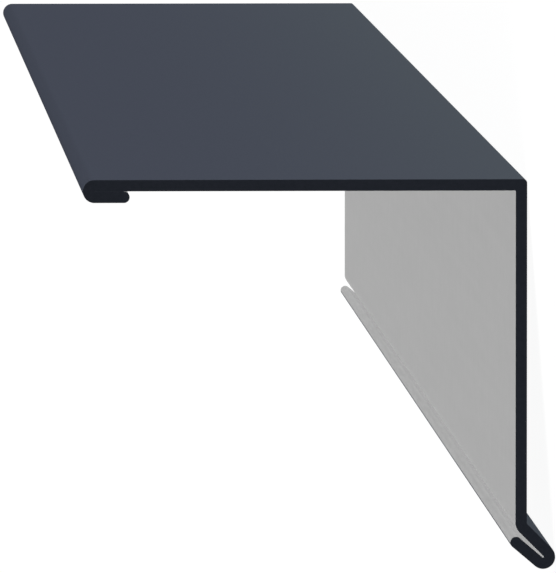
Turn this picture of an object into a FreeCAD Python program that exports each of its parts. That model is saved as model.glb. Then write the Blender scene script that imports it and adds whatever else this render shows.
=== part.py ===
"""Roof gable trim: one sheet folded to a closed-hem flange, a wall and a hemmed drip kick.

The section is drawn as it sits on a roof: the flange lies level on top, the wall hangs down
in front of the gable board, and the kick throws rain clear of it. The finished trim is then
turned to lie on a level floor on its wall, the way it rests when it is put down.
Lengths are millimetres and angles are degrees.
"""

import FreeCAD, Part
import Sketcher

import math
import os

NODE_NAME = "gable_trim"

# Driving dimensions: name, value, meaning
SIZES = [
    ("trim_length", 1000, "length of the trim along the roof edge"),
    ("sheet_thickness", 2.95, "thickness of the sheet with its coats"),
    ("flange_width", 115, "flange, from its rolled edge to the outside of the wall"),
    ("wall_height", 89.4, "wall, from the top of the flange to the fold of the kick"),
    ("corner_outer_radius", 1.0, "outside of the fold between flange and wall"),
    ("corner_inner_radius", 0.3, "inside of the fold between flange and wall"),
    ("hem_width", 12.1, "closed hem under the flange's edge"),
    ("hem_gap", 0.05, "slit left between the flange and its hem"),
    ("kick_angle", 45, "how far the kick turns outwards from the wall"),
    ("kick_length", 12.25, "kick, from its fold to the drip edge"),
    ("kick_fold_radius", 0.5, "hollow side of the fold between wall and kick"),
    ("drip_hem_width", 12.4, "open hem under the kick, from the drip edge to its free end"),
    ("drip_gap", 0.4, "gap in the open hem beside the drip edge"),
    ("drip_opening_angle", 4.8, "how far the open hem spreads from the kick"),
]


def make_sheet(doc):
    """The spreadsheet that holds the driving dimensions."""
    sheet = doc.addObject("Spreadsheet::Sheet", "Sizes")
    for row, (name, value, meaning) in enumerate(SIZES, start=1):
        sheet.set(f"A{row}", name)
        sheet.set(f"B{row}", str(value))
        sheet.set(f"C{row}", meaning)
        sheet.setAlias(f"B{row}", name)
    doc.recompute()
    return sheet


def along(angle, distance):
    """The vector of that length which points at that angle, counted from +X."""
    turn = math.radians(angle)
    return FreeCAD.Vector(distance * math.cos(turn), distance * math.sin(turn), 0)


class Outline:
    """A closed outline in a sketch, whose lines and arcs each run smoothly into the next."""

    def __init__(self, sketch):
        self.sketch = sketch
        self.pieces = {}

    def line(self, name, start, end):
        self.pieces[name] = self.sketch.addGeometry(Part.LineSegment(start, end), False)

    def arc(self, name, centre, radius, from_angle, to_angle):
        """An arc between two angles, the smaller one first."""
        circle = Part.Circle(centre, FreeCAD.Vector(0, 0, 1), radius)
        arc = Part.ArcOfCircle(circle, math.radians(from_angle), math.radians(to_angle))
        self.pieces[name] = self.sketch.addGeometry(arc, False)

    def rule(self, kind, *values):
        return self.sketch.addConstraint(Sketcher.Constraint(kind, *values))

    def size(self, name, kind, *values, formula):
        """A named dimension of the sketch that follows the spreadsheet."""
        number = self.rule(kind, *values)
        self.sketch.renameConstraint(number, name)
        self.sketch.setExpression(f"Constraints.{name}", formula)

    def join(self):
        """Makes each piece tangent to the next at the ends that meet."""
        names = list(self.pieces)
        for name, following in zip(names, names[1:] + names[:1]):
            first, second = self.pieces[name], self.pieces[following]
            pairs = [(a, b) for a in (1, 2) for b in (1, 2)]
            points = self.sketch.getPoint
            end, start = min(
                pairs, key=lambda p: (points(first, p[0]) - points(second, p[1])).Length
            )
            self.rule("Tangent", first, end, second, start)


def draw_section(sketch, get):
    """The folded sheet: its weather side to the drip edge, then back along its inner side."""
    thickness = get("sheet_thickness")
    width = get("flange_width")
    height = get("wall_height")
    outer_radius = get("corner_outer_radius")
    inner_radius = get("corner_inner_radius")
    fold_radius = get("kick_fold_radius")
    bulge_radius = fold_radius + thickness
    hem_inner = get("hem_gap") / 2
    hem_outer = hem_inner + thickness
    drip_inner = get("drip_gap") / 2
    drip_outer = drip_inner + thickness
    kick_angle = get("kick_angle")
    opening = get("drip_opening_angle")

    # Directions along the kick and back along the open hem, and the sides they face
    kick_way = kick_angle - 90
    kick_side = kick_way + 90
    return_way = kick_way + 180 + opening
    return_side = return_way + 90

    # Centres of the folds and of the rounded edges
    fold_reach = fold_radius * math.tan(math.radians(kick_angle / 2))
    kick_run = get("kick_length") - drip_outer - fold_reach
    hem_run = get("hem_width") - hem_outer - thickness / 2
    return_run = get("drip_hem_width") - drip_outer - thickness / 2
    hem = FreeCAD.Vector(hem_outer, -hem_outer, 0)
    hem_edge = hem + FreeCAD.Vector(hem_run, -hem_inner - thickness / 2, 0)
    outer_corner = FreeCAD.Vector(width - outer_radius, -outer_radius, 0)
    inner_corner = FreeCAD.Vector(
        width - thickness - inner_radius, -thickness - inner_radius, 0
    )
    fold = FreeCAD.Vector(width + fold_radius, -height + fold_reach, 0)
    kick_start = fold + along(kick_side + 180, fold_radius)
    drip = kick_start + along(kick_way, kick_run) - along(kick_side, drip_outer)
    return_edge = (
        drip + along(return_way, return_run) + along(return_side, drip_inner + thickness / 2)
    )

    outline = Outline(sketch)
    line, arc = outline.line, outline.arc
    arc("hem_roll", hem, hem_outer, 90, 270)
    line("flange_top", hem + along(90, hem_outer), outer_corner + along(90, outer_radius))
    arc("corner_outside", outer_corner, outer_radius, 0, 90)
    line("wall_front", outer_corner + along(0, outer_radius), fold + along(180, fold_radius))
    arc("fold_hollow", fold, fold_radius, 180, kick_side + 180)
    line("kick_top", kick_start, drip + along(kick_side, drip_outer))
    arc("drip_roll", drip, drip_outer, return_side - 360, kick_side)
    line(
        "return_under",
        drip + along(return_side, drip_outer),
        return_edge + along(return_side, thickness / 2),
    )
    arc("return_round", return_edge, thickness / 2, return_side - 180, return_side)
    line(
        "return_over",
        return_edge - along(return_side, thickness / 2),
        drip + along(return_side, drip_inner),
    )
    arc("drip_inside", drip, drip_inner, return_side - 360, kick_side)
    line(
        "kick_under",
        drip + along(kick_side, drip_inner),
        fold + along(kick_side + 180, bulge_radius),
    )
    arc("fold_bulge", fold, bulge_radius, 180, kick_side + 180)
    line("wall_back", fold + along(180, bulge_radius), inner_corner + along(0, inner_radius))
    arc("corner_inside", inner_corner, inner_radius, 0, 90)
    line("flange_under", inner_corner + along(90, inner_radius), hem + along(90, hem_inner))
    arc("hem_inside", hem, hem_inner, 90, 270)
    line("hem_over", hem + along(270, hem_inner), hem_edge + along(90, thickness / 2))
    arc("hem_round", hem_edge, thickness / 2, -90, 90)
    line("hem_under", hem_edge + along(270, thickness / 2), hem + along(270, hem_outer))
    outline.join()

    piece = outline.pieces
    rule, size = outline.rule, outline.size
    for name in ("flange_top", "flange_under", "hem_over", "hem_under"):
        rule("Horizontal", piece[name])
    for name in ("wall_front", "wall_back"):
        rule("Vertical", piece[name])
    rule("Parallel", piece["return_under"], piece["return_over"])
    for outer, inner in (
        ("hem_roll", "hem_inside"),
        ("fold_hollow", "fold_bulge"),
        ("drip_roll", "drip_inside"),
    ):
        rule("Coincident", piece[outer], 3, piece[inner], 3)
    rule("PointOnObject", piece["flange_top"], 1, -1)

    sheet_formula = "Sizes.sheet_thickness"
    hem_formula = f"Sizes.hem_gap / 2 + {sheet_formula}"
    drip_formula = f"Sizes.drip_gap / 2 + {sheet_formula}"
    reach_formula = "Sizes.kick_fold_radius * tan(Sizes.kick_angle * 1deg / 2)"
    for name, radius, formula in (
        ("corner_outside", outer_radius, "Sizes.corner_outer_radius"),
        ("corner_inside", inner_radius, "Sizes.corner_inner_radius"),
        ("hem_inside", hem_inner, "Sizes.hem_gap / 2"),
        ("hem_roll", hem_outer, hem_formula),
        ("fold_hollow", fold_radius, "Sizes.kick_fold_radius"),
        ("fold_bulge", bulge_radius, f"Sizes.kick_fold_radius + {sheet_formula}"),
        ("drip_inside", drip_inner, "Sizes.drip_gap / 2"),
        ("drip_roll", drip_outer, drip_formula),
    ):
        size(f"{name}_radius", "Radius", piece[name], radius, formula=formula)
    size("hem_place", "DistanceX", -1, 1, piece["hem_roll"], 3, hem.x, formula=hem_formula)
    size("width", "DistanceX", -1, 1, piece["wall_front"], 1, width, formula="Sizes.flange_width")
    size(
        "height",
        "DistanceY",
        piece["fold_hollow"],
        3,
        -1,
        1,
        -fold.y,
        formula=f"Sizes.wall_height - {reach_formula}",
    )
    size(
        "hem_run",
        "DistanceX",
        piece["hem_roll"],
        3,
        piece["hem_round"],
        3,
        hem_run,
        formula=f"Sizes.hem_width - ({hem_formula}) - {sheet_formula} / 2",
    )
    size(
        "kick_turn",
        "Angle",
        piece["kick_top"],
        1,
        piece["wall_front"],
        2,
        math.radians(180 - kick_angle),
        formula="180 - Sizes.kick_angle",
    )
    size(
        "kick_run",
        "Distance",
        piece["kick_top"],
        kick_run,
        formula=f"Sizes.kick_length - ({drip_formula}) - {reach_formula}",
    )
    size(
        "return_run",
        "Distance",
        piece["return_under"],
        return_run,
        formula=f"Sizes.drip_hem_width - ({drip_formula}) - {sheet_formula} / 2",
    )
    size(
        "opening",
        "Angle",
        piece["kick_under"],
        1,
        piece["return_over"],
        2,
        math.radians(opening),
        formula="Sizes.drip_opening_angle",
    )
    return piece


def check_document(doc):
    """Stops the script if any object of the document failed."""
    for obj in doc.Objects:
        if "Invalid" in obj.State or "Error" in obj.State:
            raise RuntimeError(f"{obj.Name} failed: {obj.State}")


def make_trim(doc, sheet):
    """The folded trim as it sits on a roof, with its length along Y."""
    body = doc.addObject("PartDesign::Body", "Trim")
    body.Label = NODE_NAME
    planes = {feature.Role: feature for feature in body.Origin.OriginFeatures}
    sketch = body.newObject("Sketcher::SketchObject", "Section")
    sketch.AttachmentSupport = (planes["XZ_Plane"], [""])
    sketch.MapMode = "FlatFace"
    doc.recompute()
    piece = draw_section(sketch, lambda name: float(sheet.get(name)))
    doc.recompute()
    if sketch.solve() != 0 or not sketch.FullyConstrained:
        raise RuntimeError("the section isn't fully fixed by its sizes")

    trim = body.newObject("PartDesign::Pad", "Trim_run")
    trim.Profile = sketch
    trim.SideType = "Symmetric"
    trim.setExpression("Length", "Sizes.trim_length")
    doc.recompute()
    corner = sketch.Geometry[piece["corner_outside"]]
    drip = sketch.Geometry[piece["drip_roll"]]
    return body, corner, drip


def lay_down(body, corner, drip):
    """Turns the trim onto its wall, to touch the floor at its corner and its drip edge.

    The lean is the angle at which both rolled edges, one at each end of the wall, reach
    equally far to the side that the wall faces.
    """
    between = drip.Center - corner.Center
    lean = math.degrees(math.atan2(between.y, between.x))
    lean += math.degrees(math.acos((corner.Radius - drip.Radius) / between.Length))
    turn = FreeCAD.Rotation(FreeCAD.Vector(0, 1, 0), 90 + lean)
    body.Placement = FreeCAD.Placement(FreeCAD.Vector(), turn)
    box = body.Shape.optimalBoundingBox(False)
    middle = FreeCAD.Vector((box.XMin + box.XMax) / 2, (box.YMin + box.YMax) / 2, box.ZMin)
    body.Placement = FreeCAD.Placement(-middle, turn)
    print(f"lean {lean:.3f} degrees, {box.XLength:.2f} x {box.YLength:.1f} x {box.ZLength:.2f} mm")


def main():
    doc = FreeCAD.newDocument("GableTrim")
    sheet = make_sheet(doc)
    body, corner, drip = make_trim(doc, sheet)
    lay_down(body, corner, drip)
    doc.recompute()
    check_document(doc)
    if body.Shape.isNull() or not body.Shape.isValid() or len(body.Shape.Solids) != 1:
        raise RuntimeError("the trim isn't one valid solid")
    os.makedirs("parts", exist_ok=True)
    body.Shape.exportStep(os.path.join("parts", f"{body.Label}.step"))
    print(body.Shape.Volume, body.Shape.isValid(), body.Shape.BoundBox)


main()
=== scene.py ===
import math

import bpy
from mathutils import Matrix, Vector


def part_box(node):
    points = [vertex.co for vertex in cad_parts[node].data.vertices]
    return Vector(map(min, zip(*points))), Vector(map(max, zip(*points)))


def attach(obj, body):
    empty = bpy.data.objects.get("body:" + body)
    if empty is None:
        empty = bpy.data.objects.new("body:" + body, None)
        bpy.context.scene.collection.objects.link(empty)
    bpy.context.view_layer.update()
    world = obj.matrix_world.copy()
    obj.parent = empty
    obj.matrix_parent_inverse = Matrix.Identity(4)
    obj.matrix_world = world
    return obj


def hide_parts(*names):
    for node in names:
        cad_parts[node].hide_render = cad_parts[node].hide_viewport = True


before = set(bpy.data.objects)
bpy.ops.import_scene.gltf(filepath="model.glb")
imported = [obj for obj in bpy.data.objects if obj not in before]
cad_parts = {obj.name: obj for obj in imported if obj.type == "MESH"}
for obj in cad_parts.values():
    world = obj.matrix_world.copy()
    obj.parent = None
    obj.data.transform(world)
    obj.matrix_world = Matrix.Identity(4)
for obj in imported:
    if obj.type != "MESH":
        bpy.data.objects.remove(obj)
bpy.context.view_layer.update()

# Sizes of the folded section, in millimetres and degrees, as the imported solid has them
SHEET = 2.95
FLANGE_WIDTH = 115
WALL_HEIGHT = 89.4
CORNER_OUTER_RADIUS = 1.0
CORNER_INNER_RADIUS = 0.3
HEM_WIDTH = 12.1
HEM_GAP = 0.05
KICK_ANGLE = 45
KICK_LENGTH = 12.25
KICK_FOLD_RADIUS = 0.5
DRIP_HEM_WIDTH = 12.4
DRIP_GAP = 0.4
DRIP_OPENING = 4.8

# The rounding of the cut ends, in millimetres, and how far the topcoat reaches round the
# sheet's slit edges, in degrees
END_ROUNDING = 0.1
TOPCOAT_WRAP = 45

# How late across the flange its painted light, a lighter shade towards the corner, comes: 1 is
# evenly, and more is later
LATE_PAINTED_LIGHT = 2

# How the mesh is divided: steps in a half turn, the fewest in a bend, steps in the rounding
# of a cut end, and spans of the length
HALF_TURN_STEPS = 36
LEAST_STEPS = 6
END_STEPS = 3
SPANS = 20

# The camera: its place and the point that it looks at in metres, its picture in pixels and
# its sensor in millimetres
CAMERA_PLACE = (0.27715, -4.21743, 0.19500)
CAMERA_AIM = (0.02367, -0.5, 0.06637)
PICTURE_HEIGHT = 573
FOCAL_PIXELS = 14414
SENSOR_HEIGHT = 36

# Lights: the direction that each comes from, its strength and its size in degrees
WORLD_STRENGTH = 0.3
SUNS = {
    "inner_side_light": ((-0.40, -0.20, 0.89), 2.37, 40),
    "weather_side_light": ((0.98, -0.20, -0.10), 2.54, 10),
}

# The floor: its width in metres, its colour as 8-bit screen values, and the share and the
# strength of the white that the camera sees on it
FLOOR_SIZE = 60
FLOOR_COLOUR = (190, 190, 190)
FLOOR_WHITE_SHARE = 0.5
FLOOR_WHITE = 1.53

NODE = "gable_trim"
MM = 0.001
WEATHER, INNER = range(2)
# The fourth look is painted shade: the cut ends darkened as the topcoat in shadow, also used
# inside the closed hem's slit
TOPCOAT, BACKCOAT, SLIT_EDGE, DARK_PAINTED_SHADE = range(4)

# The colour mix node's sockets go by number, because its sockets share their names
MIX_FACTOR = 0
MIX_FIRST = 6
MIX_SECOND = 7
MIX_RESULT = 2


def srgb(red, green, blue):
    """A colour given as 8-bit screen values, as linear light with alpha."""
    values = [value / 255 for value in (red, green, blue)]
    return tuple(v / 12.92 if v < 0.04045 else ((v + 0.055) / 1.055) ** 2.4 for v in values) + (1,)


def along(angle, distance=1.0):
    """The vector in the section's plane of that length, at that angle from its +X."""
    turn = math.radians(angle)
    return Vector((distance * math.cos(turn), distance * math.sin(turn)))


def laid(point, lean):
    """A point or a way in the section, turned to how the trim lies on the floor."""
    sideways = -point.x * math.sin(lean) + point.y * math.cos(lean)
    upwards = -point.x * math.cos(lean) - point.y * math.sin(lean)
    return Vector((sideways, upwards))


def free_edge(centre, tip_angle, weather_side):
    """Rows of a rounded free edge, from its tip to where both sides run straight.

    weather_side is 1 where that side lies anticlockwise of the tip, and -1 where clockwise.
    """
    steps = HALF_TURN_STEPS // 2
    half = SHEET / 2
    rows = []
    for step in range(steps + 1):
        spread = weather_side * 90 * step / steps
        weather = along(tip_angle + spread)
        inner = along(tip_angle - spread)
        rows.append(((centre + weather * half, weather), (centre + inner * half, inner)))
    return rows


def edge_looks():
    """The looks of the strips of a free edge: the topcoat reaches a little way round it."""
    steps = HALF_TURN_STEPS // 2
    painted = round(steps * TOPCOAT_WRAP / 90)
    return [(SLIT_EDGE, SLIT_EDGE)] * (steps - painted) + [(TOPCOAT, SLIT_EDGE)] * painted


def bend(weather_centre, weather_radius, inner_centre, inner_radius, start, end, side=1):
    """Rows round a bend, from one angle to another in degrees.

    side is 1 where the weather side is the outside of the bend, and -1 where the inside.
    """
    steps = max(LEAST_STEPS, round(HALF_TURN_STEPS * abs(end - start) / 180))
    rows = []
    for step in range(steps + 1):
        way = along(start + (end - start) * step / steps)
        weather = weather_centre + way * weather_radius
        inner = inner_centre + way * inner_radius
        rows.append(((weather, way * side), (inner, -way * side)))
    return rows


def folded_section():
    """Rows across the sheet along its section, their looks, and how the section lies.

    Each row is a point and a normal on the weather side, and the same on the inner side. The
    rows run from the closed hem's free edge over the flange and down the wall to the free
    edge of the open hem. The looks say what each strip between two rows shows on its two
    sides. The section stands as on a roof, with the flange's top at the height 0. When the
    trim lies on its wall, lean is the angle of the way down, in radians, and reach_down is
    how far the section reaches that way.
    """
    half = SHEET / 2
    hem_inner = HEM_GAP / 2
    hem_outer = hem_inner + SHEET
    drip_inner = DRIP_GAP / 2
    drip_outer = drip_inner + SHEET
    kick_way = KICK_ANGLE - 90
    return_way = kick_way + 180 + DRIP_OPENING
    kick_setback = KICK_FOLD_RADIUS * math.tan(math.radians(KICK_ANGLE / 2))

    # The centres of the bends and of the free edges' roundings
    hem = Vector((hem_outer, -hem_outer))
    hem_tip = hem + Vector((HEM_WIDTH - hem_outer - half, -hem_inner - half))
    corner = Vector((FLANGE_WIDTH - CORNER_OUTER_RADIUS, -CORNER_OUTER_RADIUS))
    inside = SHEET + CORNER_INNER_RADIUS
    inner_corner = Vector((FLANGE_WIDTH - inside, -inside))
    kick = Vector((FLANGE_WIDTH + KICK_FOLD_RADIUS, -WALL_HEIGHT + kick_setback))
    kick_start = kick - along(KICK_ANGLE, KICK_FOLD_RADIUS)
    kick_end = kick_start + along(kick_way, KICK_LENGTH - drip_outer - kick_setback)
    drip = kick_end - along(KICK_ANGLE, drip_outer)
    return_tip = drip + along(return_way, DRIP_HEM_WIDTH - drip_outer - half)
    return_tip += along(return_way + 90, drip_inner + half)

    # The closed hem and the flange over it, with painted shade inside the slit
    up = along(90)
    rows = free_edge(hem_tip, 0, -1)
    looks = edge_looks()
    rows += bend(hem, hem_outer, hem, hem_inner, 270, 90)
    rows.append(((Vector((HEM_WIDTH, 0)), up), (Vector((HEM_WIDTH, -SHEET)), -up)))
    # Painted shade: the inner side inside the slit takes the dark look where the real sheet is
    # only in shadow
    looks += [(TOPCOAT, DARK_PAINTED_SHADE)] * (len(rows) - 1 - len(looks))

    # The corner, the kick's bend and the open hem
    rows += bend(corner, CORNER_OUTER_RADIUS, inner_corner, CORNER_INNER_RADIUS, 90, 0)
    kick_inner = KICK_FOLD_RADIUS + SHEET
    rows += bend(kick, KICK_FOLD_RADIUS, kick, kick_inner, 180, 180 + KICK_ANGLE, -1)
    rows += bend(drip, drip_outer, drip, drip_inner, KICK_ANGLE, return_way + 90 - 360)
    looks += [(TOPCOAT, BACKCOAT)] * (len(rows) - len(looks))
    rows += free_edge(return_tip, return_way, 1)[::-1]
    looks += edge_looks()[::-1]

    # The floor touches the corner and the fold of the open hem
    between = drip - corner
    spread = (CORNER_OUTER_RADIUS - drip_outer) / between.length
    lean = math.atan2(between.y, between.x) + math.acos(spread)
    reach_down = corner.x * math.cos(lean) + corner.y * math.sin(lean) + CORNER_OUTER_RADIUS
    return rows, looks, lean, reach_down


def rings_along(low_y, high_y):
    """Rings along the trim, with the cut ends rounded.

    Each is its place, how far the section is drawn in there, and the part of its normals
    that points along the trim.
    """
    near = []
    for step in range(END_STEPS + 1):
        turn = math.radians(90 * step / END_STEPS)
        depth = END_ROUNDING * MM * (1 - math.cos(turn))
        near.append((low_y + depth, END_ROUNDING * (1 - math.sin(turn)), -math.cos(turn)))
    far = [(high_y + low_y - y, inset, -lengthwise) for y, inset, lengthwise in near[::-1]]
    first = near[-1][0]
    last = far[0][0]
    between = [(first + (last - first) * span / SPANS, 0, 0) for span in range(1, SPANS)]
    return near + between + far


def trim_mesh(rows, looks, lean, reach_down):
    """The trim as one closed mesh with exact normals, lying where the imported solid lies."""
    low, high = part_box(NODE)
    across = [laid(point, lean).x for row in rows for point, normal in row]
    middle = (max(across) + min(across)) / 2
    centre = (low.x + high.x) / 2

    vertices = []
    normals = []
    rings = []
    for y, inset, lengthwise in rings_along(low.y, high.y):
        ring = []
        for side in (WEATHER, INNER):
            numbers = []
            for number, row in enumerate(rows):
                # The two sides meet at the tip of each free edge
                if side == INNER and number in (0, len(rows) - 1):
                    numbers.append(ring[WEATHER][number])
                    continue
                point, normal = row[side]
                place = laid(point - normal * inset, lean)
                facing = laid(normal, lean) * math.sqrt(1 - lengthwise**2)
                x = centre + (place.x - middle) * MM
                z = low.z + (place.y + reach_down) * MM
                numbers.append(len(vertices))
                vertices.append((x, y, z))
                normals.append((facing.x, lengthwise, facing.y))
            ring.append(numbers)
        rings.append(ring)

    # The strips along the sheet, those of the rounded ends with the cut's painted shade
    faces = []
    slots = []
    for span, (here, there) in enumerate(zip(rings, rings[1:])):
        at_end = not END_STEPS <= span < len(rings) - 1 - END_STEPS
        for number, look in enumerate(looks):
            for side in (WEATHER, INNER):
                corners = [here[side][number], here[side][number + 1]]
                corners += [there[side][number + 1], there[side][number]]
                faces.append(corners if side == WEATHER else corners[::-1])
                slots.append(DARK_PAINTED_SHADE if at_end else look[side])

    # The cut ends, where a strip is a triangle at the tip of a free edge
    for is_far, (weather, inner) in ((False, rings[0]), (True, rings[-1])):
        for number in range(len(looks)):
            corners = [weather[number], weather[number + 1], inner[number + 1], inner[number]]
            corners = list(dict.fromkeys(corners))
            faces.append(corners if is_far else corners[::-1])
            slots.append(DARK_PAINTED_SHADE)

    mesh = bpy.data.meshes.new("trim_sheet")
    mesh.from_pydata(vertices, [], faces)
    mesh.polygons.foreach_set("material_index", slots)
    mesh.polygons.foreach_set("use_smooth", [True] * len(faces))
    mesh.validate()
    mesh.normals_split_custom_set_from_vertices(normals)
    return mesh


class Look:
    """A material made of nodes that read the place on the object."""

    def __init__(self, name):
        self.material = bpy.data.materials.new(name)
        self.material.use_nodes = True
        self.tree = self.material.node_tree
        self.shader = self.tree.nodes["Principled BSDF"]
        self.place = self.add("ShaderNodeTexCoord").outputs["Object"]

    def add(self, kind, inputs=None, **settings):
        """A node whose inputs are set to values or linked to other nodes' outputs."""
        node = self.tree.nodes.new(kind)
        for name, value in settings.items():
            setattr(node, name, value)
        for name, value in (inputs or {}).items():
            if isinstance(value, bpy.types.NodeSocket):
                self.tree.links.new(value, node.inputs[name])
            else:
                node.inputs[name].default_value = value
        return node

    def noise(self, scale, detail=2.0, stretch=(1, 1, 1)):
        """Noise of about that many features in a metre, stretched along the axes."""
        mapping = self.add("ShaderNodeMapping", {"Vector": self.place, "Scale": stretch})
        inputs = {"Vector": mapping.outputs["Vector"], "Scale": scale, "Detail": detail}
        return self.add("ShaderNodeTexNoise", inputs).outputs["Fac"]

    def spread(self, value, low, high, from_low=0.3, from_high=0.7):
        """Maps a value to a range, by default from the one that noise mostly fills."""
        inputs = {
            "Value": value,
            "From Min": from_low,
            "From Max": from_high,
            "To Min": low,
            "To Max": high,
        }
        return self.add("ShaderNodeMapRange", inputs).outputs["Result"]

    def mix(self, factor, first, second):
        """Blends two colours by a factor."""
        inputs = {MIX_FACTOR: factor, MIX_FIRST: first, MIX_SECOND: second}
        return self.add("ShaderNodeMix", inputs, data_type="RGBA").outputs[MIX_RESULT]

    def finish(self, colour, roughness, height, depth, specular):
        """Sets the shader: colour and roughness by node, and a bump of that depth in metres."""
        shader = self.shader
        self.tree.links.new(colour, shader.inputs["Base Color"])
        self.tree.links.new(roughness, shader.inputs["Roughness"])
        bump = self.add("ShaderNodeBump", {"Height": height, "Strength": 1.0, "Distance": depth})
        self.tree.links.new(bump.outputs["Normal"], shader.inputs["Normal"])
        shader.inputs["Specular IOR Level"].default_value = specular
        return self.material


def topcoat():
    """Matt graphite paint with a fine orange peel, and painted light that makes it a shade lighter
    towards the corner.
    """
    look = Look("matt_graphite_topcoat")
    # Painted light: the colour grows lighter towards the corner, standing in for how the light
    # falls across the flange
    height = look.add("ShaderNodeSeparateXYZ", {"Vector": look.place}).outputs["Z"]
    across = look.spread(height, 1, 0, 0, FLANGE_WIDTH * MM)
    across = look.add("ShaderNodeMath", {0: across, 1: LATE_PAINTED_LIGHT}, operation="POWER").outputs[0]
    colour = look.mix(across, srgb(61, 65, 76), srgb(69, 75, 82))
    grain = look.spread(look.noise(1500), 0, 0.2)
    colour = look.mix(grain, colour, srgb(78, 83, 93))
    roughness = look.spread(look.noise(90), 0.72, 0.78)
    orange_peel = look.noise(700)
    return look.finish(colour, roughness, orange_peel, depth=0.000008, specular=0)


def backcoat():
    """Light grey backing coat with faint streaks along the sheet."""
    look = Look("light_grey_backcoat")
    streaks = look.spread(look.noise(260, stretch=(1, 0.02, 1)), 0, 1)
    colour = look.mix(streaks, srgb(166, 166, 166), srgb(168, 168, 168))
    mottle = look.spread(look.noise(500), 0, 0.3)
    colour = look.mix(mottle, colour, srgb(172, 172, 172))
    roughness = look.spread(look.noise(120), 0.66, 0.74)
    return look.finish(colour, roughness, look.noise(900), depth=0.000006, specular=0.06)


def slit_edge():
    """The rounded slit edge, light grey with fine marks along the cut."""
    look = Look("light_grey_slit_edge")
    streaks = look.spread(look.noise(1200, stretch=(1, 0.05, 1)), 0, 1)
    colour = look.mix(streaks, srgb(160, 160, 160), srgb(165, 165, 165))
    roughness = look.spread(look.noise(300), 0.6, 0.7)
    marks = look.noise(1500, stretch=(1, 0.1, 1))
    return look.finish(colour, roughness, marks, depth=0.000006, specular=0.06)


def cut_end():
    """The cut end of the sheet, painted dark as the topcoat in shade, with the fine marks of the
    shear.
    """
    look = Look("cut_end_painted_shade")
    marks = look.spread(look.noise(900, detail=3), 0, 1)
    colour = look.mix(marks, srgb(29, 33, 40), srgb(33, 36, 44))
    roughness = look.spread(look.noise(600), 0.6, 0.75)
    return look.finish(colour, roughness, look.noise(1200), depth=0.00001, specular=0.06)


def white_to_camera(tree, shader, output, share=1.0, strength=1.0):
    """Mixes in that share of white where the camera, a gloss or a glass sees the surface."""
    nodes = tree.nodes
    links = tree.links
    path = nodes.new("ShaderNodeLightPath")
    seen = path.outputs["Is Camera Ray"]
    for ray in ("Is Glossy Ray", "Is Transmission Ray"):
        either = nodes.new("ShaderNodeMath")
        either.operation = "MAXIMUM"
        links.new(seen, either.inputs[0])
        links.new(path.outputs[ray], either.inputs[1])
        seen = either.outputs[0]
    part = nodes.new("ShaderNodeMath")
    part.operation = "MULTIPLY"
    part.inputs[1].default_value = share
    links.new(seen, part.inputs[0])
    white = nodes.new("ShaderNodeEmission")
    white.inputs["Strength"].default_value = strength
    mix = nodes.new("ShaderNodeMixShader")
    links.new(part.outputs[0], mix.inputs["Fac"])
    links.new(shader.outputs[0], mix.inputs[1])
    links.new(white.outputs[0], mix.inputs[2])
    links.new(mix.outputs[0], output.inputs["Surface"])


def make_trim(rows, looks, lean, reach_down):
    """The folded sheet with its four finishes, in the order of their slots."""
    trim = bpy.data.objects.new("folded_trim", trim_mesh(rows, looks, lean, reach_down))
    for material in (topcoat(), backcoat(), slit_edge(), cut_end()):
        trim.data.materials.append(material)
    bpy.context.collection.objects.link(trim)
    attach(trim, "root")
    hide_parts(NODE)


def make_floor():
    """A wide pale floor, which keeps a faint shadow of the trim."""
    mesh = bpy.data.meshes.new("floor")
    half = FLOOR_SIZE / 2
    corners = [(-half, -half, 0), (half, -half, 0), (half, half, 0), (-half, half, 0)]
    mesh.from_pydata(corners, [], [(0, 1, 2, 3)])
    floor = bpy.data.objects.new("floor", mesh)
    bpy.context.collection.objects.link(floor)
    material = bpy.data.materials.new("pale_floor")
    material.use_nodes = True
    tree = material.node_tree
    shader = tree.nodes["Principled BSDF"]
    shader.inputs["Base Color"].default_value = srgb(*FLOOR_COLOUR)
    shader.inputs["Roughness"].default_value = 1.0
    shader.inputs["Specular IOR Level"].default_value = 0.0
    output = tree.nodes["Material Output"]
    white_to_camera(tree, shader, output, FLOOR_WHITE_SHARE, FLOOR_WHITE)
    mesh.materials.append(material)


def make_world():
    """An even white surround."""
    world = bpy.data.worlds.new("even_surround")
    world.use_nodes = True
    bpy.context.scene.world = world
    tree = world.node_tree
    background = tree.nodes["Background"]
    background.inputs["Color"].default_value = (1, 1, 1, 1)
    background.inputs["Strength"].default_value = WORLD_STRENGTH
    white_to_camera(tree, background, tree.nodes["World Output"])


def make_lights():
    """Two soft suns without shadows, so that the floor doesn't hold back the lower one."""
    for name, (source, strength, size) in SUNS.items():
        light = bpy.data.lights.new(name, "SUN")
        light.energy = strength
        light.angle = math.radians(size)
        light.use_shadow = False
        lamp = bpy.data.objects.new(name, light)
        lamp.rotation_euler = Vector(source).to_track_quat("Z", "Y").to_euler()
        bpy.context.collection.objects.link(lamp)


def make_camera(lean):
    """A far camera, rolled so that the flange lies level in the picture as on a roof."""
    data = bpy.data.cameras.new("camera")
    data.sensor_fit = "VERTICAL"
    data.sensor_height = SENSOR_HEIGHT
    data.lens = FOCAL_PIXELS * SENSOR_HEIGHT / PICTURE_HEIGHT
    data.clip_end = FLOOR_SIZE
    camera = bpy.data.objects.new("camera", data)
    back = (Vector(CAMERA_PLACE) - Vector(CAMERA_AIM)).normalized()
    roof_up = Vector((math.cos(lean), 0, -math.sin(lean)))
    right = roof_up.cross(back).normalized()
    up = back.cross(right)
    turn = Matrix((right, up, back)).transposed()
    camera.matrix_world = Matrix.LocRotScale(Vector(CAMERA_PLACE), turn, None)
    bpy.context.collection.objects.link(camera)
    bpy.context.scene.camera = camera


rows, looks, lean, reach_down = folded_section()
make_trim(rows, looks, lean, reach_down)
make_floor()
make_world()
make_lights()
make_camera(lean)
bpy.context.scene.view_settings.view_transform = "Standard"
